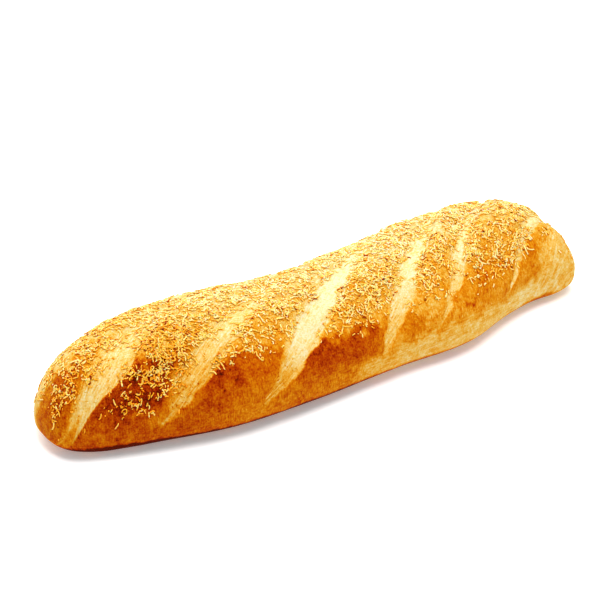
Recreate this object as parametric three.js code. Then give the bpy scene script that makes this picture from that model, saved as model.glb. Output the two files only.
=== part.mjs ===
// A long loaf of cheese bread, baked in one piece: blunt near end, narrower nub at the far end,
// flat base, and six slanting slashes across the crown with plump ridges of crust between them.
// Millimetres, +Z up, the loaf lies along X and rests on z = 0.
import * as THREE from "three";

const LENGTH = 370;
const HALF = LENGTH / 2;

// Stations along the loaf: x, half width, height of the crown, sideways shift of the middle.
const STATIONS = [
  { x: -185, halfWidth: 33, height: 34.5, shift: -1 },
  { x: -168, halfWidth: 31.8, height: 46, shift: -0.5 },
  { x: -135, halfWidth: 42.4, height: 55, shift: 1.2 },
  { x: -85, halfWidth: 50.2, height: 60.7, shift: -3.6 },
  { x: -30, halfWidth: 47.9, height: 57.5, shift: -6.4 },
  { x: 30, halfWidth: 47.8, height: 56, shift: -3 },
  { x: 85, halfWidth: 52, height: 57, shift: 2 },
  { x: 125, halfWidth: 44.3, height: 56.5, shift: 8.2 },
  { x: 150, halfWidth: 39.6, height: 54.3, shift: 8.8 },
  { x: 168, halfWidth: 31, height: 49.5, shift: 0.2 },
  { x: 185, halfWidth: 23.5, height: 36.5, shift: -12.5 },
];

// The two ends close over these lengths.
const BLUNT_END = 34;
const NUB_END = 26;
const END_POWER = 2.2;

// Cross section: widest line as a share of the height, roundness above and below it,
// and how far the dough is pressed past the board, which leaves the flat base.
const WAIST = 0.36;
const TOP_POWER = 2.15;
const BASE_POWER = 3.2;
const PRESS = 1.05;

// Slashes. lip: x where the raised right-hand lip crosses the crown line. lean: millimetres along x
// for each one round the loaf. near, far: reach round the loaf from the crown, near side negative.
// grow, fall: lengths over which the cut widens from its near tip and narrows to its far one.
// width: along x at its widest. hook: how far the near tip trails towards the blunt end.
const SLASHES = [
  { lip: -105, lean: 1.3, near: -35, grow: 9, far: 44, fall: 40, width: 43, hook: 28 },
  { lip: -34, lean: 1.35, near: -66, grow: 25, far: 50, fall: 40, width: 33, hook: 12 },
  { lip: 28, lean: 1.26, near: -80, grow: 52, far: 56, fall: 45, width: 33, hook: 0 },
  { lip: 86, lean: 1.07, near: -69, grow: 42, far: 50, fall: 45, width: 26, hook: 0 },
  { lip: 126, lean: 1.1, near: -63, grow: 45, far: 46, fall: 42, width: 21, hook: 0 },
  { lip: 176, lean: 0.98, near: -63, grow: 54, far: 30, fall: 30, width: 15, hook: 0 },
];
const LEAST_OPEN = 0.1;
const HOOK_REACH = 8;
const HOOK_POWER = 1.5;

// Floor of a slash, across it from its lip at 0 to its soft edge at 1: deepest past FLOOR_FLAT,
// fading out between the two shares of FLOOR_END, with a thin crease along it.
const FLOOR_DEPTH = 2.3;
const FLOOR_AT_LIP = 0.7;
const FLOOR_FLAT = 0.6;
const FLOOR_END = [0.5, 1.4];
const CREASE_DEPTH = 0.5;
const CREASE_AT = 0.72;
const CREASE_WIDTH = 0.09;

// Lip and ridge: the step down to the floor runs from just past the lip to just inside it,
// and the ridge beyond rises and dies away over these lengths.
const LIP_STEP = [-0.6, 1];
const RIDGE_HEIGHT = 1.4;
const RIDGE_RISE = 2;
const RIDGE_LENGTH = 15;

// Shallow neck that sets the nub off from the last ridge, fading out at its two ends.
const NECK = {
  crown: 174, lean: 0.48, width: 4, depth: 1.1, far: 30, nearEnd: [-75, -50], farEnd: [-8, 22],
};

// Relief dies away towards the two tips and down to the base, between these heights.
const TIP_FADE = 1.6;
const BASE_FADE = [3, 16];

// Facets along and round the loaf. Their rows slant with the slashes, least at the tips, and
// crowd at the two ends and at the crown.
const RINGS = 116;
const ROUND = 38;
const SLANT = 0.9;
const SLANT_ROUND = 150;
const SLANT_FADE = 3;
const CROWD_ENDS = 0.45;
const CROWD_CROWN = 0.22;
const CROWD_POWER = 5;

const clamp = THREE.MathUtils.clamp;
const smoothstep = THREE.MathUtils.smoothstep;
const signedPower = (value, power) => Math.sign(value) * Math.abs(value) ** power;

// Smooth curve through the stations, its slopes weighted by the gaps on either side.
function station(x, key) {
  const last = STATIONS.length - 1;
  const secant = (i) =>
    (STATIONS[i + 1][key] - STATIONS[i][key]) / (STATIONS[i + 1].x - STATIONS[i].x);
  const slope = (i) => {
    if (i === 0) return secant(0);
    if (i === last) return secant(last - 1);
    const before = STATIONS[i].x - STATIONS[i - 1].x;
    const after = STATIONS[i + 1].x - STATIONS[i].x;
    return (secant(i - 1) * after + secant(i) * before) / (before + after);
  };
  let i = 0;
  while (i < last - 1 && x >= STATIONS[i + 1].x) i++;
  const gap = STATIONS[i + 1].x - STATIONS[i].x;
  const t = (x - STATIONS[i].x) / gap;
  return (
    (2 * t ** 3 - 3 * t ** 2 + 1) * STATIONS[i][key] +
    (t ** 3 - 2 * t ** 2 + t) * gap * slope(i) +
    (3 * t ** 2 - 2 * t ** 3) * STATIONS[i + 1][key] +
    (t ** 3 - t ** 2) * gap * slope(i + 1)
  );
}

// Share of the full section left at x, from 1 in the middle to 0 at both tips.
function closing(x) {
  const blunt = clamp((-x - (HALF - BLUNT_END)) / BLUNT_END, 0, 1);
  const nub = clamp((x - (HALF - NUB_END)) / NUB_END, 0, 1);
  return (1 - blunt ** END_POWER) ** (1 / END_POWER) * (1 - nub ** END_POWER) ** (1 / END_POWER);
}

// Cross section at an angle: 0 is the far side, a quarter turn is the crown.
function section(angle, halfWidth, height, share) {
  const c = Math.cos(angle);
  const s = Math.sin(angle);
  const waist = WAIST * height;
  const power = s > 0 ? TOP_POWER : BASE_POWER;
  const rise = s > 0 ? height - waist : -waist * PRESS;
  return {
    y: halfWidth * share * signedPower(c, 2 / power),
    z: waist + rise * share * Math.abs(s) ** (2 / power),
  };
}

// Distance round a typical section from the crown, positive to the far side, for each angle,
// as a share of half width plus half height.
const TYPICAL = { halfWidth: 48, height: 60 };
const GIRTH = [];
{
  const steps = 720;
  let walked = 0;
  let before = null;
  for (let i = 0; i <= steps; i++) {
    const angle = -Math.PI / 2 + (2 * Math.PI * i) / steps;
    const p = section(angle, TYPICAL.halfWidth, TYPICAL.height, 1);
    if (before) walked += Math.hypot(p.y - before.y, p.z - before.z);
    GIRTH.push({ angle, walked });
    before = p;
  }
  const size = TYPICAL.halfWidth + TYPICAL.height / 2;
  for (const row of GIRTH) row.share = (walked / 2 - row.walked) / size;
}
const HALF_GIRTH = GIRTH[0].share;

// The angle at a distance round the section, given as a share.
function angleAt(share) {
  let low = 0;
  let high = GIRTH.length - 1;
  while (high - low > 1) {
    const middle = (low + high) >> 1;
    if (GIRTH[middle].share > share) low = middle;
    else high = middle;
  }
  const t = (GIRTH[low].share - share) / (GIRTH[low].share - GIRTH[high].share);
  return THREE.MathUtils.lerp(GIRTH[low].angle, GIRTH[high].angle, t);
}

// Height that one slash, with its ridge, adds to the plain loaf at x and v.
function slashRelief(cut, x, v) {
  const widened = clamp((v - cut.near) / cut.grow, 0, 1);
  const open = widened * clamp((cut.far - v) / cut.fall, 0, 1);
  const trail = cut.hook * clamp(1 - (v - cut.near) / HOOK_REACH, 0, 1) ** HOOK_POWER;
  const along = x - (cut.lip + cut.lean * v - trail);
  const across = -along / (cut.width * Math.max(open, LEAST_OPEN));
  const beyond = along / Math.hypot(1, cut.lean);
  const slope = FLOOR_AT_LIP + (1 - FLOOR_AT_LIP) * clamp(across / FLOOR_FLAT, 0, 1);
  const floor = FLOOR_DEPTH * slope * (1 - smoothstep(across, ...FLOOR_END));
  const crease = CREASE_DEPTH * Math.exp(-(((across - CREASE_AT) / CREASE_WIDTH) ** 2));
  const inside = smoothstep(-beyond, ...LIP_STEP);
  const past = Math.max(beyond, 0);
  const ridge = (1 - Math.exp(-past / RIDGE_RISE)) * Math.exp(-((past / RIDGE_LENGTH) ** 2));
  return Math.sqrt(open) * (RIDGE_HEIGHT * ridge - (floor + crease) * inside);
}

// Height of the crust over the plain loaf at x and at the distance v round from the crown.
function relief(x, v) {
  const slashes = SLASHES.reduce((height, cut) => height + slashRelief(cut, x, v), 0);
  const neck = (x - NECK.crown - NECK.lean * Math.min(v, NECK.far)) / NECK.width;
  const shown = smoothstep(v, ...NECK.nearEnd) * (1 - smoothstep(v, ...NECK.farEnd));
  return slashes - NECK.depth * Math.exp(-(neck ** 2)) * shown;
}

// One point of the crust: where the ring stands and how far round it is, from -1 to 1.
function crust(ring, round) {
  const share = HALF_GIRTH * ((1 - CROWD_CROWN) * round + CROWD_CROWN * round ** CROWD_POWER);
  const angle = angleAt(share);
  const fade = 1 - Math.abs(ring / HALF) ** SLANT_FADE;
  const swing = Math.sin((Math.PI * share) / HALF_GIRTH) / Math.PI;
  const slide = SLANT * SLANT_ROUND * fade * swing;
  const x = ring + slide;
  const halfWidth = station(x, "halfWidth");
  const height = station(x, "height");
  const size = closing(x);
  const point = section(angle, halfWidth, height, size);
  const waist = WAIST * height;
  const v = share * (halfWidth + height / 2) * size;
  const out = Math.hypot(point.y, point.z - waist) || 1;
  const lift = relief(x, v) * clamp(size * TIP_FADE, 0, 1) * smoothstep(point.z, ...BASE_FADE);
  const y = point.y * (1 + lift / out) + station(x, "shift");
  const z = waist + (point.z - waist) * (1 + lift / out);
  return [x, y, Math.max(z, 0)];
}

function loafGeometry() {
  const points = [[-HALF, station(-HALF, "shift"), WAIST * station(-HALF, "height")]];
  for (let i = 1; i < RINGS; i++) {
    const u = (2 * i) / RINGS - 1;
    const ring = HALF * ((1 - CROWD_ENDS) * u + CROWD_ENDS * Math.sin((Math.PI * u) / 2));
    for (let j = 0; j < ROUND; j++) points.push(crust(ring, (2 * j) / ROUND - 1));
  }
  points.push([HALF, station(HALF, "shift"), WAIST * station(HALF, "height")]);
  const index = [];
  const at = (i, j) => 1 + (i - 1) * ROUND + (j % ROUND);
  for (let j = 0; j < ROUND; j++) {
    index.push(0, at(1, j), at(1, j + 1));
    for (let i = 1; i < RINGS - 1; i++) {
      index.push(at(i, j), at(i + 1, j), at(i + 1, j + 1));
      index.push(at(i, j), at(i + 1, j + 1), at(i, j + 1));
    }
    index.push(points.length - 1, at(RINGS - 1, j + 1), at(RINGS - 1, j));
  }
  const geometry = new THREE.BufferGeometry();
  geometry.setAttribute("position", new THREE.Float32BufferAttribute(points.flat(), 3));
  geometry.setIndex(index);
  geometry.computeVertexNormals();
  geometry.computeBoundingBox();
  const box = geometry.boundingBox;
  geometry.translate(-(box.min.x + box.max.x) / 2, -(box.min.y + box.max.y) / 2, -box.min.z);
  return geometry;
}

const bread = new THREE.MeshStandardMaterial({ color: 0xd9a04a, roughness: 0.8 });
const loaf = new THREE.Mesh(loafGeometry(), bread);
loaf.name = "loaf";

const object = new THREE.Group();
object.add(loaf);
export default object;
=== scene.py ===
import math

import bmesh
import bpy
import numpy as np
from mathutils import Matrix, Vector, kdtree, noise


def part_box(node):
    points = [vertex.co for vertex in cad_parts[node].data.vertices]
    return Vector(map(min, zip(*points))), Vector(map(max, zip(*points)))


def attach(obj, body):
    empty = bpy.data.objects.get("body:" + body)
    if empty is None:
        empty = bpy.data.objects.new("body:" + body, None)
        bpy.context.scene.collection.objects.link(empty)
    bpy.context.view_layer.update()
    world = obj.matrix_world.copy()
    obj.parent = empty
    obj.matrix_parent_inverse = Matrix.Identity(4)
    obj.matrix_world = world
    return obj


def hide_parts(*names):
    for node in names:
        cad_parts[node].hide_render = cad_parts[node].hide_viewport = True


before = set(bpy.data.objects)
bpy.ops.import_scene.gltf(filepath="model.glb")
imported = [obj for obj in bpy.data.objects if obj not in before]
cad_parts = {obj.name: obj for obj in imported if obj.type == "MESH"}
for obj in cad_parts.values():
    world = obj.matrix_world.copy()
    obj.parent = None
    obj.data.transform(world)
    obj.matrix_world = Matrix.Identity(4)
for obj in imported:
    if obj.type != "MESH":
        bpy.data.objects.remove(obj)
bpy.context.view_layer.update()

# ---- Crust: the shaped dough -----------------------------------------------------------------
# One long loaf of white dough, shaped by hand: blunt at the left, drawn out to a nub at the
# right, flat where it lay on the tray. Its skin is a loft through eleven stations, in millimetres.

MM = 0.001
HALF_LENGTH = 185
# Each station: x, half width, height of the crown, sideways shift of the middle.
STATIONS = np.array([
    [-185, 33, 34.5, -1],
    [-168, 31.8, 46, -0.5],
    [-135, 42.4, 55, 1.2],
    [-85, 50.2, 60.7, -3.6],
    [-30, 47.9, 57.5, -6.4],
    [30, 47.8, 56, -3],
    [85, 52, 57, 2],
    [125, 44.3, 56.5, 8.2],
    [150, 39.6, 54.3, 8.8],
    [168, 31, 49.5, 0.2],
    [185, 23.5, 36.5, -12.5],
])
# Length over which each end closes, and how squarely: 2 is an ellipse.
BLUNT_END = 34
NUB_END = 26
END_POWER = 2.2
# The widest part's height as a share of the crown's, and how square the section is above it and
# below it, where the tray presses flat what bulges a little past it.
WAIST = 0.36
TOP_POWER = 2.15
BASE_POWER = 3.2
PRESS = 1.05


def ease(start, end, value):
    """A smooth step from 0 at start to 1 at end."""
    t = np.clip((value - start) / (end - start), 0, 1)
    return t * t * (3 - 2 * t)


def blend(low, high, share):
    """From low at a share of 0 to high at 1."""
    return low + (high - low) * share


def station(x, column):
    """Smooth curve through one column of the stations."""
    at, value = STATIONS[:, 0], STATIONS[:, column]
    gap = np.diff(at)
    secant = np.diff(value) / gap
    inner = (secant[:-1] * gap[1:] + secant[1:] * gap[:-1]) / (gap[1:] + gap[:-1])
    slope = np.concatenate([secant[:1], inner, secant[-1:]])
    i = np.clip(np.searchsorted(at, x, side="right") - 1, 0, len(gap) - 1)
    t = (x - at[i]) / gap[i]
    rise = 3 * t**2 - 2 * t**3
    return (
        value[i] * (1 - rise)
        + value[i + 1] * rise
        + gap[i] * slope[i] * (t**3 - 2 * t**2 + t)
        + gap[i] * slope[i + 1] * (t**3 - t**2)
    )


def closing(x):
    """Share of the full section that is left at x: 1 in the middle, 0 at both tips."""
    blunt = np.clip((-x - HALF_LENGTH + BLUNT_END) / BLUNT_END, 0, 1)
    nub = np.clip((x - HALF_LENGTH + NUB_END) / NUB_END, 0, 1)
    return ((1 - blunt**END_POWER) * (1 - nub**END_POWER)) ** (1 / END_POWER)


def section(angle, half_width, height, share):
    """Cross section at an angle: 0 is the far side, a quarter turn is the crown."""
    across, up = np.cos(angle), np.sin(angle)
    power = 2 / np.where(up > 0, TOP_POWER, BASE_POWER)
    rise = np.where(up > 0, 1 - WAIST, -WAIST * PRESS) * height
    y = half_width * share * np.sign(across) * np.abs(across) ** power
    return y, WAIST * height + rise * share * np.abs(up) ** power


# Distance round a typical section from its crown, far side positive, for a turn of angles, as a
# share of its half width and half its height together.
TYPICAL_HALF_WIDTH = 48
TYPICAL_HEIGHT = 60
TURN = np.linspace(-math.pi / 2, 3 * math.pi / 2, 721)
typical_y, typical_z = section(TURN, TYPICAL_HALF_WIDTH, TYPICAL_HEIGHT, 1)
walked = np.concatenate([[0], np.cumsum(np.hypot(np.diff(typical_y), np.diff(typical_z)))])
GIRTH = (walked[-1] / 2 - walked) / (TYPICAL_HALF_WIDTH + TYPICAL_HEIGHT / 2)
HALF_GIRTH = GIRTH[0]


def round_size(x):
    """Distance round the loaf at x for each unit of the girth."""
    return (station(x, 1) + station(x, 2) / 2) * closing(x)


# ---- Crust: slashes and ridges ---------------------------------------------------------------
# Six cuts of a blade, each opened in the oven into a pale torn floor. The floor fades into the
# ridge on its left and stops at a crisp lip on its right, where the next ridge swells and browns.

# lip: x where the lip crosses the crown. lean: along x for each millimetre round the loaf.
# near, far: reach from the crown, near side negative. grow, fall: distance over which the cut
# widens from its near tip and narrows to its far one. width: along x. hook: trail of the near tip.
# floor, tip: how baked the floor is high up and at its near tip. ridge: the ridge past the lip,
# which browns below brown. bare: how little cheese lies on the floor. strewn: how far down the
# ridge past the lip it lies.
SLASHES = [
    dict(lip=-105, lean=1.3, near=-35, grow=9, far=44, fall=40, width=43, hook=28,
         floor=0.12, tip=0.16, ridge=0.72, brown=-26, bare=1, strewn=-55),
    dict(lip=-34, lean=1.35, near=-66, grow=25, far=50, fall=40, width=33, hook=12,
         floor=0.12, tip=0.32, ridge=0.64, brown=-38, bare=1.05, strewn=-42),
    dict(lip=28, lean=1.26, near=-80, grow=52, far=56, fall=45, width=33, hook=0,
         floor=0.03, tip=0.36, ridge=0.62, brown=-43, bare=1.7, strewn=-41),
    dict(lip=86, lean=1.07, near=-69, grow=42, far=50, fall=45, width=26, hook=0,
         floor=0.06, tip=0.22, ridge=0.38, brown=-42, bare=1.3, strewn=-42),
    dict(lip=126, lean=1.1, near=-63, grow=45, far=46, fall=42, width=21, hook=0,
         floor=0.06, tip=0.2, ridge=0.47, brown=-36, bare=1.2, strewn=-45),
    dict(lip=176, lean=0.98, near=-63, grow=54, far=30, fall=30, width=15, hook=0,
         floor=0.06, tip=0.12, ridge=0.5, brown=-28, bare=1.2, strewn=-34),
]
HOOK_REACH = 8
HOOK_POWER = 1.5
# A torn edge wanders this far, in waves: share of it, length for each radian, shift by slash.
TORN_EDGE = 0.4
TORN_WAVES = [(1, 6.3, 2.1), (0.6, 3.1, 4.7), (0.4, 1.3, 1.9)]
# Where a cut is closed, places across it are measured as if it were this open.
NARROWEST = 0.1
# Depth of the floor, and what is left of it at the lip. Places are shares of the floor's width,
# from the lip: where it is deepest, where it rises to its soft edge, where a crease runs.
FLOOR_DEPTH = 2.3
LIP_SHARE = 0.7
DEEPEST_AT = 0.6
SOFT_EDGE = (0.5, 1.4)
CREASE_DEPTH = 0.5
CREASE_AT = 0.72
CREASE_WIDTH = 0.05
# Millimetres past the lip: its own face, and the rise and length of the ridge.
LIP_FACE = (-0.6, 1.0)
RIDGE_HEIGHT = 1.4
RIDGE_RISE = 2
RIDGE_LENGTH = 15
# A shallow neck sets off the nub on the near side, and fades at its two ends.
NECK = dict(crown=174, lean=0.48, width=4, depth=1.1, far=30)
NECK_LOW_END = (-75, -50)
NECK_HIGH_END = (22, -8)
# Lumps all over the crust: height, length, seed.
LUMPS = [(0.9, 21, 1), (0.35, 7, 2), (0.14, 2.6, 3)]
# All of this fades towards the tips of the loaf and down to the tray.
TIP_FADE = 1.6
TRAY_FADE = (3, 16)


def wobble(along, number):
    """A torn edge's wander, in millimetres, different for each slash."""
    return TORN_EDGE * sum(
        share * np.sin(along / length + shift * number) for share, length, shift in TORN_WAVES
    )


def cuts(x, v):
    """For each slash: how open it is, the place across its floor from lip (0) to soft edge (1),
    and the distance beyond the lip."""
    found = []
    for number, cut in enumerate(SLASHES):
        growth = np.clip((v - cut["near"]) / cut["grow"], 0, 1)
        opened = growth * np.clip((cut["far"] - v) / cut["fall"], 0, 1)
        trail = cut["hook"] * np.clip(1 - (v - cut["near"]) / HOOK_REACH, 0, 1) ** HOOK_POWER
        lip = cut["lip"] + cut["lean"] * v - trail
        along = x - lip - wobble(v, number)
        across = -along / (cut["width"] * np.maximum(opened, NARROWEST))
        found.append((opened, across, along / math.hypot(1, cut["lean"])))
    return found


def crease(across):
    """How near a point is to the crease of its floor, 0 to 1."""
    return np.exp(-(((across - CREASE_AT) / CREASE_WIDTH) ** 2))


def neck_line(x, v):
    """Distance past the neck, towards the nub."""
    return x - NECK["crown"] - NECK["lean"] * np.minimum(v, NECK["far"])


def relief(x, v):
    """Height of the crust over the plain loaf, from its slashes, ridges and neck."""
    neck = np.exp(-((neck_line(x, v) / NECK["width"]) ** 2))
    height = -NECK["depth"] * neck * ease(*NECK_LOW_END, v) * ease(*NECK_HIGH_END, v)
    for opened, across, beyond in cuts(x, v):
        strength = opened**0.5
        deepening = blend(LIP_SHARE, 1, np.clip(across / DEEPEST_AT, 0, 1))
        floor = (1 - ease(*SOFT_EDGE, across)) * deepening
        inside = ease(*LIP_FACE, -beyond)
        past = np.maximum(beyond, 0)
        swell = (1 - np.exp(-past / RIDGE_RISE)) * np.exp(-((past / RIDGE_LENGTH) ** 2))
        height -= strength * (FLOOR_DEPTH * floor + CREASE_DEPTH * crease(across)) * inside
        height += strength * RIDGE_HEIGHT * swell
    return height


def ripple(points, scale, seed):
    """Even noise from -1 to 1 at each point, with lumps about scale millimetres long."""
    shift = Vector((seed * 37.1, seed * 11.3, seed * 5.7))
    values = [noise.noise(Vector(p) / scale + shift) for p in points.reshape(-1, 3)]
    return np.array(values).reshape(points.shape[:-1])


def skin(x, share):
    """Points of the crust at x and at a share of the girth round from the crown, and how far
    round the loaf from its crown each lies."""
    half_width, height, size = station(x, 1), station(x, 2), closing(x)
    y, z = section(np.interp(-share, -GIRTH, TURN), half_width, height, size)
    waist = WAIST * height
    v = share * round_size(x)
    plain = np.stack([x, y, z], axis=-1)
    lumps = sum(high * ripple(plain, length, seed) for high, length, seed in LUMPS)
    lift = (relief(x, v) + lumps) * np.clip(size * TIP_FADE, 0, 1) * ease(*TRAY_FADE, z)
    out = np.maximum(np.hypot(y, z - waist), 1)
    y = y * (1 + lift / out) + station(x, 3)
    z = np.maximum(waist + (z - waist) * (1 + lift / out), 0)
    return np.stack([x, y, z], axis=-1), v


# ---- Crust: browning -------------------------------------------------------------------------
# The oven's mark on every point: 0 is pale dough, 0.4 golden, 0.7 chestnut, 1 the darkest
# red-brown. Ridges brown below their brown line; the right half of the loaf stayed lighter. The
# dark band along the sole is burnt crust and painted contact shade, and the paler far half of the
# crown is partly a painted highlight.

CROWN_BAKE = 0.08
# What the crown gains towards the blunt end and towards the nub: how much, from x, to x.
ENDS_BAKE = [(0.1, -70, -130), (0.02, 90, 140)]
SHOULDER_BAKE = 0.34
# Partly paler crust and partly a painted highlight on the far half of the crown.
FAR_BAKE_WITH_HIGHLIGHT = 0.04
# The ridge at the blunt end, left of the first slash.
END_RIDGE = dict(ridge=0.58, brown=4, strewn=-50)
NUB_BAKE = 0.24
UNDER_BAKE = 0.42
# Lower edge of the near side, from left to right: x, how baked it is, how dark its sole band is,
# burnt crust and painted contact shade together.
EDGE_BAKE = np.array([
    [-185, 0.35, 0.1], [-172, 0.5, 0.4], [-150, 0.76, 0.7], [-105, 0.7, 0.7], [-72, 0.56, 0.6],
    [-40, 0.63, 0.55], [-18, 0.58, 0.55], [-5, 0.48, 0.55], [14, 0.3, 0.55], [45, 0.26, 0.55],
    [80, 0.25, 0.5], [100, 0.24, 0.3], [130, 0.22, 0.3], [148, 0.22, 0.5], [160, 0.24, 0.4],
    [172, 0.26, 0.1], [185, 0.3, 0],
])
# Where one part turns into the next, in millimetres round from the crown, far side positive: the
# shoulder into the crown, the crown into its far half, and that into the browned far side.
SHOULDER_TO_CROWN = (-28, 12)
CROWN_TO_FAR = (16, 34)
FAR_SIDE = (40, 56)
FAR_SIDE_SHARE = 0.75
# Half the distance over which a ridge turns brown.
BROWN_FADE = 6
# The thin line past each lip that caught the heat: how much, how far past, how wide.
LIP_BAKE = dict(much=0.06, past=1.5, width=2.2)
# How far round from the crown the lower edge starts. It starts higher, by EDGE_RISE, at the nub.
EDGE_START = 60
EDGE_RISE = 10
EDGE_RISES_AT = (100, 160)
EDGE_FADE = 9
NECK_TO_NUB = (-9, 3)
UNDER_FROM = (0.8, 0.9)
# A floor's colour stops at the lip, fades at the soft edge and at its tips, turns from tip to
# floor over these distances from its near tip, and is darker at its soft edge than at its crease.
FLOOR_LIP = (-0.4, 0.4)
FLOOR_SOFT_EDGE = (1.1, 0.8)
FLOOR_OPENED = (0.02, 0.15)
TIP_TO_FLOOR = (12, 44)
SOFT_EDGE_BAKE = 0.08
SOFT_EDGE_DARKENS = (0.45, 0.8)
CREASE_PALE = 0.1
# How far the colours wander off their places: distance, length of a wave. The edges of the
# floors wander less.
WANDER = [(7, 8), (3.5, 3.2)]
FLOOR_WANDER = (2.5, 6)
# Heights between which the crust is darkened where it curls under, burnt and with painted contact
# shade: none, fully, fully, none.
SOLE_BAND = [2, 4.6, 7.4, 10.2]
SOLE_WANDER = 0.15
# Where the oven caught the ridges most: x, distance round, reach along x and round, how much,
# which is less than 0 where it spared them.
SCORCHED = [
    (-174, -8, 9, 14, 0.12),
    (-136, -37, 22, 13, 0.15),
    (-83, -49, 20, 8, 0.12),
    (-92, -50, 10, 6, 0.12),
    (-100, -63, 15, 5, 0.14),
    (-124, -57, 10, 6, -0.16),
    (-15, -50, 29, 8, 0.19),
    (-26, -63, 22, 6, 0.12),
    (42, -56, 13, 8, 0.18),
    (98, -48, 22, 11, 0.06),
    (147, -46, 8, 14, 0.08),
    (-74, -12, 4, 2, 0.45),
    (-155, 8, 3, 3, 0.45),
    (82, -56, 4, 2, 0.35),
]


def ridge_value(found, name):
    """A value of the ridge that each point lies on."""
    value = float(END_RIDGE[name])
    for cut, (opened, across, beyond) in zip(SLASHES, found):
        value = np.where(beyond > 0, cut[name], value)
    return value


def wander(flat, seed):
    """How far off each point takes its colour, in millimetres."""
    return sum(
        distance * ripple(flat, length, seed + number)
        for number, (distance, length) in enumerate(WANDER)
    )


def baking(x, v, share, z):
    """How baked each point is, its sole band partly painted contact shade and the far half of its
    crown partly a painted highlight, and how much of it is slash floor.
    """
    flat = np.stack([x, v, 0 * x], axis=-1)
    distance, length = FLOOR_WANDER
    found = cuts(x + distance * ripple(flat, length, seed=8), v)
    stray = wander(flat, seed=4)
    x, v = x + stray, v + wander(flat, seed=6)
    brown = ridge_value(found, "brown")
    near = ease(brown + BROWN_FADE, brown - BROWN_FADE, v)
    top = CROWN_BAKE + sum(much * ease(start, end, x) for much, start, end in ENDS_BAKE)
    crown = blend(SHOULDER_BAKE, top, ease(*SHOULDER_TO_CROWN, v))
    crown = blend(crown, FAR_BAKE_WITH_HIGHLIGHT, ease(*CROWN_TO_FAR, v))
    far = FAR_SIDE_SHARE * ease(*FAR_SIDE, v)
    bake = blend(crown, ridge_value(found, "ridge"), np.maximum(near, far))
    for at_x, at_v, long, wide, much in SCORCHED:
        bake = bake + much * np.exp(-(((x - at_x) / long) ** 4) - ((v - at_v) / wide) ** 4)
    for opened, across, beyond in found:
        lip = np.exp(-(((beyond - LIP_BAKE["past"]) / LIP_BAKE["width"]) ** 2))
        bake = bake + LIP_BAKE["much"] * lip * opened * near
    low = np.interp(x, EDGE_BAKE[:, 0], EDGE_BAKE[:, 1])
    turned = EDGE_START - EDGE_RISE * ease(*EDGE_RISES_AT, x)
    bake = blend(bake, low, ease(turned, turned + EDGE_FADE, np.abs(v)))
    bake = blend(bake, NUB_BAKE, ease(*NECK_TO_NUB, neck_line(x, v)))
    floor_share = np.zeros(x.shape)
    for cut, (opened, across, beyond) in zip(SLASHES, found):
        inside = ease(*FLOOR_LIP, -beyond) * ease(*FLOOR_SOFT_EDGE, across)
        inside = inside * ease(*FLOOR_OPENED, opened)
        pale = blend(cut["tip"], cut["floor"], ease(*TIP_TO_FLOOR, v - cut["near"]))
        pale = pale + SOFT_EDGE_BAKE * ease(*SOFT_EDGE_DARKENS, across)
        bake = blend(bake, pale - CREASE_PALE * crease(across), inside)
        floor_share = np.maximum(floor_share, inside)
    bake = blend(bake, UNDER_BAKE, ease(*UNDER_FROM, np.abs(share) / HALF_GIRTH))
    # The sole band: burnt crust together with painted contact shade.
    sole_burn_and_shade = np.interp(z + SOLE_WANDER * stray, SOLE_BAND, [0, 1, 1, 0])
    return bake + sole_burn_and_shade * np.interp(x, EDGE_BAKE[:, 0], EDGE_BAKE[:, 2]), floor_share


# ---- Crust: where the cheese lies ------------------------------------------------------------
# The grated cheese fell on the crown and clung down to a ragged line on the near side. Less of it
# stayed on the torn floors and on the smooth blunt end, and next to none past the neck.

# Distance over which it thins out: above each ridge's strewn line, and down the far side.
STREWN_NEAR = (-7, 22)
STREWN_FAR = (50, 22)
# The blunt end is strewn less far down, and more thinly.
BLUNT_LIFT = 22
BLUNT_LIFTS_AT = (-145, -165)
BLUNT_THIN = 0.6
BLUNT_THINS_AT = (-112, -145)
# A floor is bare this far in from its lip, up to this share of its width, and where it is open.
BARE_LIP = (1, 5)
BARE_SOFT_EDGE = (0.95, 0.4)
BARE_OPENED = (0.02, 0.3)
# High on the loaf the floors caught more.
BARE_ON_TOP = 0.55
BARE_TOP_AT = (8, -12)
# What the neck stops, and how much further over it the cheese reaches on the crown.
NECK_STOPS = 0.9
NECK_THINS = (-4, 3)
OVER_NECK = 9
OVER_NECK_AT = (-8, 6)


def cover(x, v):
    """How thickly grated cheese lies, 0 to 1, at each point."""
    found = cuts(x, v)
    reach = ridge_value(found, "strewn") + BLUNT_LIFT * ease(*BLUNT_LIFTS_AT, x)
    thick = ease(*STREWN_NEAR, v - reach) * ease(*STREWN_FAR, v)
    for cut, (opened, across, beyond) in zip(SLASHES, found):
        inside = ease(*BARE_LIP, -beyond) * ease(*BARE_SOFT_EDGE, across)
        inside = inside * ease(*BARE_OPENED, opened)
        bare = cut["bare"] * blend(BARE_ON_TOP, 1, ease(*BARE_TOP_AT, v))
        thick = thick * np.clip(1 - inside * bare, 0, 1)
    thick = thick * blend(1, BLUNT_THIN, ease(*BLUNT_THINS_AT, x))
    past = neck_line(x, v) - OVER_NECK * ease(*OVER_NECK_AT, v)
    return thick * (1 - NECK_STOPS * ease(*NECK_THINS, past))


# ---- Crust: its mesh -------------------------------------------------------------------------
# A ball of points is drawn out onto the loaf's shape. Its rows slant with the slashes, so that
# their lips stay crisp, and each point keeps its browning and its place on the unrolled skin.

ROWS_ALONG = 430
ROWS_ROUND = 212
SLANT = 0.9
SLANT_ROUND = 150
# How much closer together the rows lie near the ends, and near the crown.
CROWD_ENDS = 0.45
CROWD_CROWN = 0.22
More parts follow.
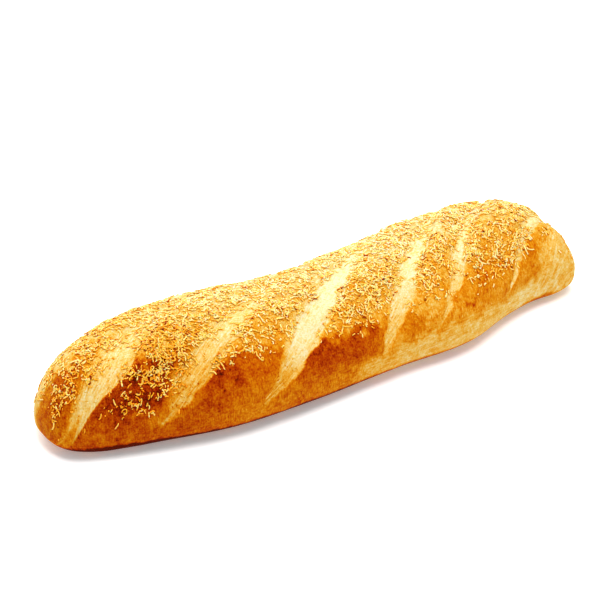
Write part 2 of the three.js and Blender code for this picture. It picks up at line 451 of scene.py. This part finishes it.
# Lean of the torn floors' fibres, and the length of one step along with one such step round.
TORN_LEAN = 1.2
TORN_STEP = 1.56
# The lower edge's stretch lines start this far round, and are weaker at the left, up to x. Those
# of the nub take over past the neck.
EDGE_LINES_FROM = (56, 66)
EDGE_LINES_LEFT = 0.35
EDGE_LINES_GROW = (-40, 30)
NUB_LINES_FROM = (-4, 4)


def place_on_loaf(ball):
    """Turns points of a ball about Z into x along the loaf and a share of the girth."""
    u = 1 - 2 * np.arccos(np.clip(ball[:, 2], -1, 1)) / math.pi
    ring = HALF_LENGTH * blend(u, np.sin(math.pi * u / 2), CROWD_ENDS)
    turn = -np.arctan2(ball[:, 1], ball[:, 0]) / math.pi
    share = HALF_GIRTH * blend(turn, turn**5, CROWD_CROWN)
    fade = 1 - np.abs(ring / HALF_LENGTH) ** 3
    slide = SLANT * fade * SLANT_ROUND / math.pi * np.sin(math.pi * share / HALF_GIRTH)
    return np.clip(ring + slide, -HALF_LENGTH, HALF_LENGTH), share


def add_numbers(mesh, name, kind, numbers):
    """Stores one number, or one vector, for each point of a mesh, for its material to read."""
    field = mesh.attributes.new(name, kind, "POINT")
    field.data.foreach_set("vector" if kind == "FLOAT_VECTOR" else "value", np.ravel(numbers))


def show(mesh, name, material):
    """Puts a finished mesh in the scene as a piece of the loaf."""
    mesh.materials.append(material)
    piece = bpy.data.objects.new(name, mesh)
    bpy.context.scene.collection.objects.link(piece)
    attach(piece, "root")
    return piece


crust_mesh = bpy.data.meshes.new("crust")
ball = bmesh.new()
bmesh.ops.create_uvsphere(ball, u_segments=ROWS_ROUND, v_segments=ROWS_ALONG, radius=1)
for face in ball.faces:
    face.smooth = True
ball.to_mesh(crust_mesh)
ball.free()
ball_points = np.empty(len(crust_mesh.vertices) * 3)
crust_mesh.vertices.foreach_get("co", ball_points)
crust_x, crust_share = place_on_loaf(ball_points.reshape(-1, 3))
crust_points, crust_v = skin(crust_x, crust_share)
low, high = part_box("loaf")
MIDDLE = np.array([0, (crust_points[:, 1].min() + crust_points[:, 1].max()) / 2, 0])
PLACE = np.array([(low[0] + high[0]) / 2, (low[1] + high[1]) / 2, low[2]])


def to_frame(points):
    """Millimetres about the loaf's own middle to metres in the frame."""
    return (points - MIDDLE) * MM + PLACE


crust_mesh.vertices.foreach_set("co", to_frame(crust_points).ravel())
crust_bake, crust_floor = baking(crust_x, crust_v, crust_share, crust_points[:, 2])
crust_neck = neck_line(crust_x, crust_v)
crust_nub = ease(*NUB_LINES_FROM, crust_neck)
crust_edge = ease(*EDGE_LINES_FROM, np.abs(crust_v)) * (1 - crust_nub)
crust_edge *= blend(EDGE_LINES_LEFT, 1, ease(*EDGE_LINES_GROW, crust_x))
torn_x = crust_x - TORN_LEAN * crust_v
torn_v = TORN_LEAN * crust_x + crust_v
crust_torn = np.stack([torn_x, torn_v, 0 * crust_x], axis=-1) / TORN_STEP
crust_unrolled = np.stack([crust_x, crust_v, crust_neck], axis=-1)
add_numbers(crust_mesh, "bake", "FLOAT", crust_bake)
add_numbers(crust_mesh, "floor", "FLOAT", crust_floor)
add_numbers(crust_mesh, "cheesy", "FLOAT", cover(crust_x, crust_v))
add_numbers(crust_mesh, "torn", "FLOAT_VECTOR", crust_torn)
add_numbers(crust_mesh, "nub", "FLOAT", crust_nub)
add_numbers(crust_mesh, "edge", "FLOAT", crust_edge)
add_numbers(crust_mesh, "unrolled", "FLOAT_VECTOR", crust_unrolled)

# ---- Crust: its finish -----------------------------------------------------------------------
# Matt baked skin: golden where the oven barely reached it, red-brown on the ridges, mottled and
# finely wrinkled, with stretch lines where the dough was pulled and pits in the torn floors.


class Tone:
    """A socket of a material's nodes, so that sums of sockets read as Python sums."""

    def __init__(self, tree, socket=None):
        self.tree = tree
        self.socket = socket

    def node(self, kind, settings=None, out=0, **inputs):
        """Adds a node. Inputs are named by their name, or as in0, in1 where names repeat."""
        made = self.tree.nodes.new(kind)
        for name, value in (settings or {}).items():
            if name == "stops":
                while len(made.color_ramp.elements) < len(value):
                    made.color_ramp.elements.new(0.5)
                for stop, (at, colour) in zip(made.color_ramp.elements, value):
                    stop.position = at
                    stop.color = (*colour, 1)
            else:
                setattr(made, name, value)
        for name, value in inputs.items():
            end = made.inputs[int(name[2:]) if name[:2] == "in" else name.replace("_", " ")]
            if isinstance(value, Tone):
                self.tree.links.new(value.socket, end)
            else:
                end.default_value = value
        return Tone(self.tree, made.outputs[out])

    def maths(self, operation, first, second=0.0):
        return self.node("ShaderNodeMath", {"operation": operation}, in0=first, in1=second)

    def __add__(self, other):
        return self.maths("ADD", self, other)

    def __radd__(self, other):
        return self.maths("ADD", other, self)

    def __sub__(self, other):
        return self.maths("SUBTRACT", self, other)

    def __rsub__(self, other):
        return self.maths("SUBTRACT", other, self)

    def __mul__(self, other):
        return self.maths("MULTIPLY", self, other)

    def __rmul__(self, other):
        return self.maths("MULTIPLY", other, self)

    def __abs__(self):
        return self.maths("ABSOLUTE", self)

    def ease(self, start, end):
        """A smooth step from 0 at start to 1 at end."""
        settings = {"interpolation_type": "SMOOTHSTEP"}
        return self.node("ShaderNodeMapRange", settings, in0=self, in1=start, in2=end)

    def feed(self, shader, name):
        """Links this into a socket of the shader."""
        self.tree.links.new(self.socket, shader.inputs[name])


def read(tone, name, out=2):
    """A number (out 2) or vector (out 1) stored on the mesh."""
    return tone.node("ShaderNodeAttribute", {"attribute_name": name}, out=out)


def grain(tone, where, size, detail=3):
    """Noise from about -0.5 to 0.5, with grains about size long, in the units of where."""
    spots = tone.node("ShaderNodeTexNoise", Vector=where, Scale=1 / size, Detail=detail)
    return spots - 0.5


def streaks(tone, unrolled, sizes):
    """Noise drawn out by sizes, in millimetres, along x, round the loaf and past the neck. A
    size of 0 leaves that direction out."""
    scale = [1 / size if size else 0 for size in sizes]
    return grain(tone, tone.node("ShaderNodeMapping", Vector=unrolled, Scale=scale), 1, 2)


def coloured(tone, shader, stops, toast):
    """Colours the shader by how toasted it is."""
    tone.node("ShaderNodeValToRGB", {"stops": stops}, Fac=toast).feed(shader, "Base Color")


def roughened(tone, shader, strength, height):
    """Gives the shader a bump of up to a millimetre."""
    bump = tone.node("ShaderNodeBump", Strength=strength, Distance=MM, Height=height)
    bump.feed(shader, "Normal")


def let_light_in(shader, specular, weight, depth):
    """Lets light sink in to a depth in metres, the red of it furthest, and mutes the gloss."""
    shader.inputs["Specular IOR Level"].default_value = specular
    shader.inputs["Subsurface Weight"].default_value = weight
    shader.inputs["Subsurface Radius"].default_value = (1, 0.5, 0.2)
    shader.inputs["Subsurface Scale"].default_value = depth


def new_finish(name):
    """A material, the tone that adds its nodes, its shader and its Object coordinates."""
    material = bpy.data.materials.new(name)
    material.use_nodes = True
    tone = Tone(material.node_tree)
    shader = material.node_tree.nodes["Principled BSDF"]
    return material, tone, shader, tone.node("ShaderNodeTexCoord", out=3)


CRUST_COLOURS = [
    (0.0, (0.63, 0.56, 0.33)),
    (0.1, (0.62, 0.47, 0.19)),
    (0.2, (0.6, 0.385, 0.095)),
    (0.3, (0.58, 0.31, 0.04)),
    (0.4, (0.56, 0.235, 0.01)),
    (0.5, (0.51, 0.17, 0.0015)),
    (0.6, (0.45, 0.115, 0.0006)),
    (0.7, (0.39, 0.07, 0.0003)),
    (0.8, (0.32, 0.036, 0.0002)),
    (0.9, (0.23, 0.013, 0.0001)),
    (1.0, (0.07, 0.004, 0.0001)),
]

crust, tone, shader, where = new_finish("baked_crust")
bake, floor, cheesy = read(tone, "bake"), read(tone, "floor"), read(tone, "cheesy")
beside = read(tone, "beside")
nub, edge = read(tone, "nub"), read(tone, "edge")
unrolled, torn = read(tone, "unrolled", 1), read(tone, "torn", 1)
patches = grain(tone, where, 13 * MM, 2)
mottle = grain(tone, where, 5 * MM, 4)
blister = grain(tone, where, 2.2 * MM, 3)
freckle = grain(tone, where, 1.1 * MM, 3)
fine = grain(tone, where, 0.7 * MM, 3)
pits = grain(tone, where, 1.6 * MM, 2).ease(0.1, 0.2)
fibres = streaks(tone, torn, (0.9, 9, 0))
# A web of thin lines between the threads: sunk into the crust like melted cheese, and darkened in
# colour as painted shade.
melt_and_shade_web = 1 - abs(grain(tone, where, 1.9 * MM, 2)).ease(0.01, 0.07)
# Stretch lines: short ones where the shoulders rose, long ones that sweep over the nub and along
# the lower edge.
shoulder = bake.ease(0.3, 0.45) * (1 - 0.6 * bake.ease(0.6, 0.8))
pulled = streaks(tone, unrolled, (0.7, 4.5, 0)) * (1 - floor) * (1 - nub)
swept_nub = streaks(tone, unrolled, (0, 14, 1.1)) * nub
swept = swept_nub * 1.5 + streaks(tone, unrolled, (16, 1.3, 0)) * edge
# How much each mark darkens the crust. Floors show their pits and fibres, and less of the rest.
toast = (
    bake
    + patches * (0.24 - 0.1 * floor)
    + mottle * (0.38 - 0.16 * floor)
    + blister * (0.36 - 0.2 * floor)
    + freckle * 0.4
    + pits * floor * (0.06 + bake * 0.8)
    + fibres * floor * (0.2 + bake * 1.6)
    # Painted shade in the web between the threads.
    + melt_and_shade_web * cheesy * 0.1
    # Browning, partly painted shade, under and beside the threads.
    + beside * (0.22 - 0.2 * bake)
    + pulled * (0.04 + 0.5 * shoulder)
    + swept * 0.42
)
# How high each mark stands, in millimetres.
height = (
    mottle * 0.3
    + blister * 0.25
    + freckle * 0.25
    + fine * 0.1
    + pulled * 0.3
    + swept * 0.4
    + fibres * floor * 0.5
    - pits * floor * 0.2
    - melt_and_shade_web * cheesy * 0.3
)
coloured(tone, shader, CRUST_COLOURS, toast)
(0.62 + freckle * 0.25).feed(shader, "Roughness")
roughened(tone, shader, 0.8, height)
let_light_in(shader, specular=0.01, weight=0.3, depth=2 * MM)

crust_piece = show(crust_mesh, "crust", crust)
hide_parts("loaf")

# ---- Grated cheese -------------------------------------------------------------------------
# Hard cheese from a fine grater, strewn over the crown before baking: short stubby threads, dried
# golden in the oven, lying and crossing on the crust. Each is a small tube laid over the skin.

# Each kind: its random seed, how many there are, length and width in millimetres, how curly it
# is, how many rings it has along it, how high it piles up, and how toasted it is. Length, width
# and toasted are ranges.
CHEESE_KINDS = {
    "cheese_threads": dict(
        seed=11, count=2700, length=(2, 4.4), width=(0.72, 1.02), curl=0.35, steps=6,
        stacked=0.15, toasted=(-0.05, 0.34),
    ),
    "cheese_short_threads": dict(
        seed=23, count=3500, length=(1.2, 2.6), width=(0.68, 1.02), curl=0.5, steps=5,
        stacked=0.1, toasted=(-0.05, 0.42),
    ),
    "cheese_curls": dict(
        seed=37, count=560, length=(4, 7.5), width=(0.8, 1.02), curl=0.6, steps=11,
        stacked=0.3, toasted=(0.0, 0.35),
    ),
    "toasted_bits": dict(
        seed=41, count=650, length=(1.0, 3.2), width=(0.65, 1.0), curl=0.3, steps=5,
        stacked=0.2, toasted=(0.55, 0.85),
    ),
    "cheese_crumbs": dict(
        seed=53, count=3600, length=(0.6, 1.1), width=(0.7, 1.2), curl=0.1, steps=3,
        stacked=0.05, toasted=(0.05, 0.6),
    ),
}
SIDES = 5
# The crust that is strewn, short of the two ends, and as a share of the girth.
STREWN_X = (-181, 178)
STREWN_V = (-72, 70)
STREWN_GIRTH = 0.8
# Cheese gathers in patches: strength and length of two sizes of them, on an even sprinkle.
SPRINKLE = 0.5
PATCHES = [(1.6, 9, 1), (1.3, 4.2, 2)]
THINNEST = 0.03
# A thread turns at random by about KINK at each ring. Its middle lies at REST_AT of its half
# width above the crust or the pile, and its tips curl up by at most TIP_LIFT. It is a little
# flattened, uneven, and narrower at its tips, and its rings start at any turn.
KINK = 0.22
REST_AT = 0.3
TIP_LIFT = 0.4
FLATTENED = 0.85
UNEVEN = (0.82, 1.12)
TIP_WIDTH = 0.7
TIP_WIDENS = 2.4
ANY_TURN = (0, 6.3)
HIGHEST_PILE = 1.6
# Near the tips of the loaf, where its girth shrinks to nothing, the skin is taken as at least
# this share of the full size.
LEAST_SIZE = 0.05
NORMAL_STEP = 0.8
# Cheese is more toasted towards the two ends and down the near side, and its own underside is
# darkened as painted shade: how much, from where, to where.
TOASTED_BLUNT = (0.15, -60, -120)
TOASTED_NUB = (0.02, 70, 130)
TOASTED_NEAR = (0.14, 8, -16)
UNDERSIDE_PAINTED_SHADE = (0.42, 0.8, -0.5)
TOASTED_UNEVENLY = 0.08


def strew(rng, count):
    """Picks places on the crust, more where the cheese lies thickly, gathered in patches."""
    kept = np.empty((0, 2))
    while len(kept) < count:
        x = rng.uniform(*STREWN_X, 3 * count)
        v = rng.uniform(*STREWN_V, 3 * count)
        fits = np.abs(v) < STREWN_GIRTH * HALF_GIRTH * round_size(x)
        spots = np.stack([x, v, 0 * x], axis=-1)
        patch = SPRINKLE + sum(much * ripple(spots, long, seed) for much, long, seed in PATCHES)
        likely = cover(x, v) * np.clip(patch, THINNEST, 1)
        chosen = fits & (rng.uniform(0, 1, x.shape) < likely)
        kept = np.concatenate([kept, np.stack([x, v], axis=-1)[chosen]])
    return kept[:count]


def on_skin(x, v, raised):
    """Points raised over the crust at x and v, with the crust's normal there."""
    size = (station(x, 1) + station(x, 2) / 2) * np.maximum(closing(x), LEAST_SIZE)
    share = v / size
    here = skin(x, share)[0]
    forward = skin(x + NORMAL_STEP, share)[0] - here
    around = skin(x, share + NORMAL_STEP / size)[0] - here
    normal = np.cross(forward, around)
    normal /= np.maximum(np.linalg.norm(normal, axis=-1, keepdims=True), 1e-9)
    return here + normal * raised[..., None], normal


def unit(vectors):
    """The vectors at a length of 1."""
    return vectors / np.linalg.norm(vectors, axis=-1, keepdims=True)


def tubes(name, ring):
    """A mesh of closed tubes from the rings of points along each."""
    count, steps, sides = ring.shape[:3]
    first = (np.arange(count) * steps * sides)[:, None, None]
    row = (np.arange(steps - 1) * sides)[None, :, None]
    corner = np.arange(sides)[None, None]
    next_corner = (corner + 1) % sides
    low_row, high_row = first + row, first + row + sides
    quads = [low_row + corner, high_row + corner, high_row + next_corner, low_row + next_corner]
    quads = np.stack(quads, axis=-1).reshape(-1, 4)
    start_cap = first[:, 0] + corner[0]
    end_cap = first[:, 0] + (steps - 1) * sides + corner[0, :, ::-1]
    mesh = bpy.data.meshes.new(name)
    faces = [*quads.tolist(), *start_cap.tolist(), *end_cap.tolist()]
    mesh.from_pydata(to_frame(ring.reshape(-1, 3)), [], faces)
    mesh.shade_smooth()
    return mesh


def threads(name, seed, count, length, width, curl, steps, stacked, toasted):
    """A mesh of many short threads laid on the crust, and the points that they lie along."""
    rng = np.random.default_rng(seed)
    spots = strew(rng, count)
    long = rng.uniform(*length, count)[:, None]
    t = np.linspace(0, 1, steps)[None]
    bend = rng.normal(0, curl, count)[:, None] * (t - 0.5) * long
    kinks = rng.normal(0, KINK, (count, steps)).cumsum(axis=1)
    angle = rng.uniform(0, 2 * math.pi, count)[:, None] + bend + kinks
    # Near the ends a step along x is a longer one on the skin.
    pair = spots[:, :1] + [-0.5, 0.5]
    apart = np.diff(on_skin(pair, spots[:, 1:] + 0 * pair, 0 * pair)[0], axis=1)
    steep = np.linalg.norm(apart, axis=-1)
    x = spots[:, :1] + np.cumsum(np.cos(angle), axis=1) * long / (steps - 1) / steep
    v = spots[:, 1:] + np.cumsum(np.sin(angle), axis=1) * long / (steps - 1)
    x = np.clip(x, 1 - HALF_LENGTH, HALF_LENGTH - 2)
    thick = rng.uniform(*width, count)[:, None] / 2
    pile = rng.exponential(stacked, count) * cover(*spots.T)
    pile = np.minimum(pile, HIGHEST_PILE)[:, None]
    tips = TIP_LIFT * rng.uniform(0, 1, (2, count, 1)) ** 3
    lifted = tips[0] * (1 - t) ** 2 + tips[1] * t**2
    centre, normal = on_skin(x, v, thick * REST_AT + pile + lifted)
    ahead = unit(np.gradient(centre, axis=1))
    side = unit(np.cross(ahead, normal))
    up = np.cross(side, ahead)
    taper = np.minimum(1, TIP_WIDTH + TIP_WIDENS * np.minimum(t, 1 - t))
    radius = (thick * (taper * rng.uniform(*UNEVEN, (count, steps))))[..., None]
    turn = np.linspace(0, 2 * math.pi, SIDES, endpoint=False)
    turn = turn + rng.uniform(*ANY_TURN, (count, 1, 1))
    ring = (
        centre[:, :, None]
        + (radius * np.cos(turn))[..., None] * side[:, :, None]
        + (radius * np.sin(turn) * FLATTENED)[..., None] * up[:, :, None]
    )
    mesh = tubes(name, ring)
    toast = rng.uniform(*toasted, count)[:, None]
    toast = toast + TOASTED_UNEVENLY * rng.normal(0, 1, (count, steps))
    for (much, start, end), place in (TOASTED_BLUNT, x), (TOASTED_NUB, x), (TOASTED_NEAR, v):
        toast = toast + much * ease(start, end, place)
    # Painted shade: each ring is darker on its lower side.
    much, start, end = UNDERSIDE_PAINTED_SHADE
    underside_shade = much * ease(start, end, np.sin(turn)) + 0 * radius
    add_numbers(mesh, "toast", "FLOAT", toast[..., None] + underside_shade)
    return mesh, centre.reshape(-1, 3)


CHEESE_COLOURS = [
    (0.0, (0.8, 0.7, 0.42)),
    (0.3, (0.8, 0.56, 0.15)),
    (0.55, (0.8, 0.35, 0.012)),
    (0.8, (0.74, 0.17, 0.001)),
    (1.0, (0.2, 0.014, 0.0002)),
]

cheese, tone, shader, where = new_finish("baked_cheese")
fleck = grain(tone, where, 1.2 * MM, 2)
# The toast number carries real toasting and also the painted shade on each thread's underside.
coloured(tone, shader, CHEESE_COLOURS, read(tone, "toast") + fleck * 0.3)
(0.45 + fleck * 0.2).feed(shader, "Roughness")
roughened(tone, shader, 0.5, fleck * 0.3)
let_light_in(shader, specular=0.04, weight=0.6, depth=1.2 * MM)

laid = []
for name, kind in CHEESE_KINDS.items():
    mesh, centres = threads(name, **kind)
    show(mesh, name, cheese)
    laid.append(centres)

# The crust is darkened where cheese lies on it, partly browning and partly painted shade under and
# beside each thread: within this distance of a thread's middle, and fully from this nearness on.
BROWN_AND_SHADE_REACH = 1.15
BROWN_AND_SHADE_FULLY = 0.8
crust_tree = kdtree.KDTree(len(crust_points))
for number, point in enumerate(crust_points):
    crust_tree.insert(point, number)
crust_tree.balance()
nearness = np.zeros(len(crust_points))
for point in np.concatenate(laid):
    for place, number, distance in crust_tree.find_range(point, BROWN_AND_SHADE_REACH):
        nearness[number] = max(nearness[number], 1 - distance / BROWN_AND_SHADE_REACH)
add_numbers(crust_mesh, "beside", "FLOAT", ease(0, BROWN_AND_SHADE_FULLY, nearness))

# ---- Table, light and camera -----------------------------------------------------------------
# A white table under soft white light: a broad lamp overhead, a weak one behind for the far rim,
# and an even surround that fills the near side. The table glows faintly, painted light that
# lightens the loaf's shadow on it.

TABLE_HALF = 3
TABLE_WHITES = [(0.0, (0.89, 0.89, 0.89)), (1.0, (0.92, 0.92, 0.92))]
# Painted light: the table's own glow, which lightens the loaf's shadow on it.
TABLE_GLOW = 0.2
GLOW_COLOUR = (0.98, 1, 0.96, 1)

table_mesh = bpy.data.meshes.new("table")
sheet = bmesh.new()
bmesh.ops.create_grid(sheet, x_segments=1, y_segments=1, size=TABLE_HALF)
sheet.to_mesh(table_mesh)
sheet.free()
table, tone, shader, where = new_finish("white_table")
coloured(tone, shader, TABLE_WHITES, grain(tone, where, 0.2, 2) + 0.5)
shader.inputs["Roughness"].default_value = 0.8
shader.inputs["Specular IOR Level"].default_value = 0.1
shader.inputs["Emission Color"].default_value = GLOW_COLOUR
shader.inputs["Emission Strength"].default_value = TABLE_GLOW
table_mesh.materials.append(table)
table_top = bpy.data.objects.new("table_top", table_mesh)
bpy.context.scene.collection.objects.link(table_top)

# The camera looks from the photograph's angle at a point above the loaf's middle, in metres.
CAMERA_ELEVATION = math.radians(32)
CAMERA_TURN = math.radians(32)
CAMERA_DISTANCE = 1.3
LENS = 128.6
AIM_HEIGHT = 0.03
AIM_LEFT = 0.00887
AIM_UP = 0.00793

right = Vector((math.cos(CAMERA_TURN), -math.sin(CAMERA_TURN), 0))
back = Vector((
    -math.sin(CAMERA_TURN) * math.cos(CAMERA_ELEVATION),
    -math.cos(CAMERA_TURN) * math.cos(CAMERA_ELEVATION),
    math.sin(CAMERA_ELEVATION),
))
up = back.cross(right)
middle = Vector((0, -MIDDLE[1] * MM + PLACE[1], AIM_HEIGHT))
camera_data = bpy.data.cameras.new("camera")
camera_data.lens = LENS
camera = bpy.data.objects.new("camera", camera_data)
camera.location = middle + CAMERA_DISTANCE * back
aim = middle - AIM_LEFT * right + AIM_UP * up
camera.rotation_euler = (aim - camera.location).to_track_quat("-Z", "Y").to_euler()
bpy.context.scene.collection.objects.link(camera)
bpy.context.scene.camera = camera

SURROUND = 0.72
world = bpy.data.worlds.new("surround")
world.use_nodes = True
world.node_tree.nodes["Background"].inputs["Color"].default_value = (1, 1, 1, 1)
world.node_tree.nodes["Background"].inputs["Strength"].default_value = SURROUND
bpy.context.scene.world = world


def lamp(name, place, size, power):
    """A square soft lamp that points at the loaf."""
    data = bpy.data.lights.new(name, "AREA")
    data.size = size
    data.energy = power
    made = bpy.data.objects.new(name, data)
    made.location = place
    made.rotation_euler = (-Vector(place)).to_track_quat("-Z", "Y").to_euler()
    bpy.context.scene.collection.objects.link(made)


lamp("key", place=(0.05, -0.14, 1.2), size=0.9, power=18)
lamp("rim", place=(-0.1, 0.8, 0.5), size=0.6, power=5)
bpy.context.scene.view_settings.view_transform = "Standard"
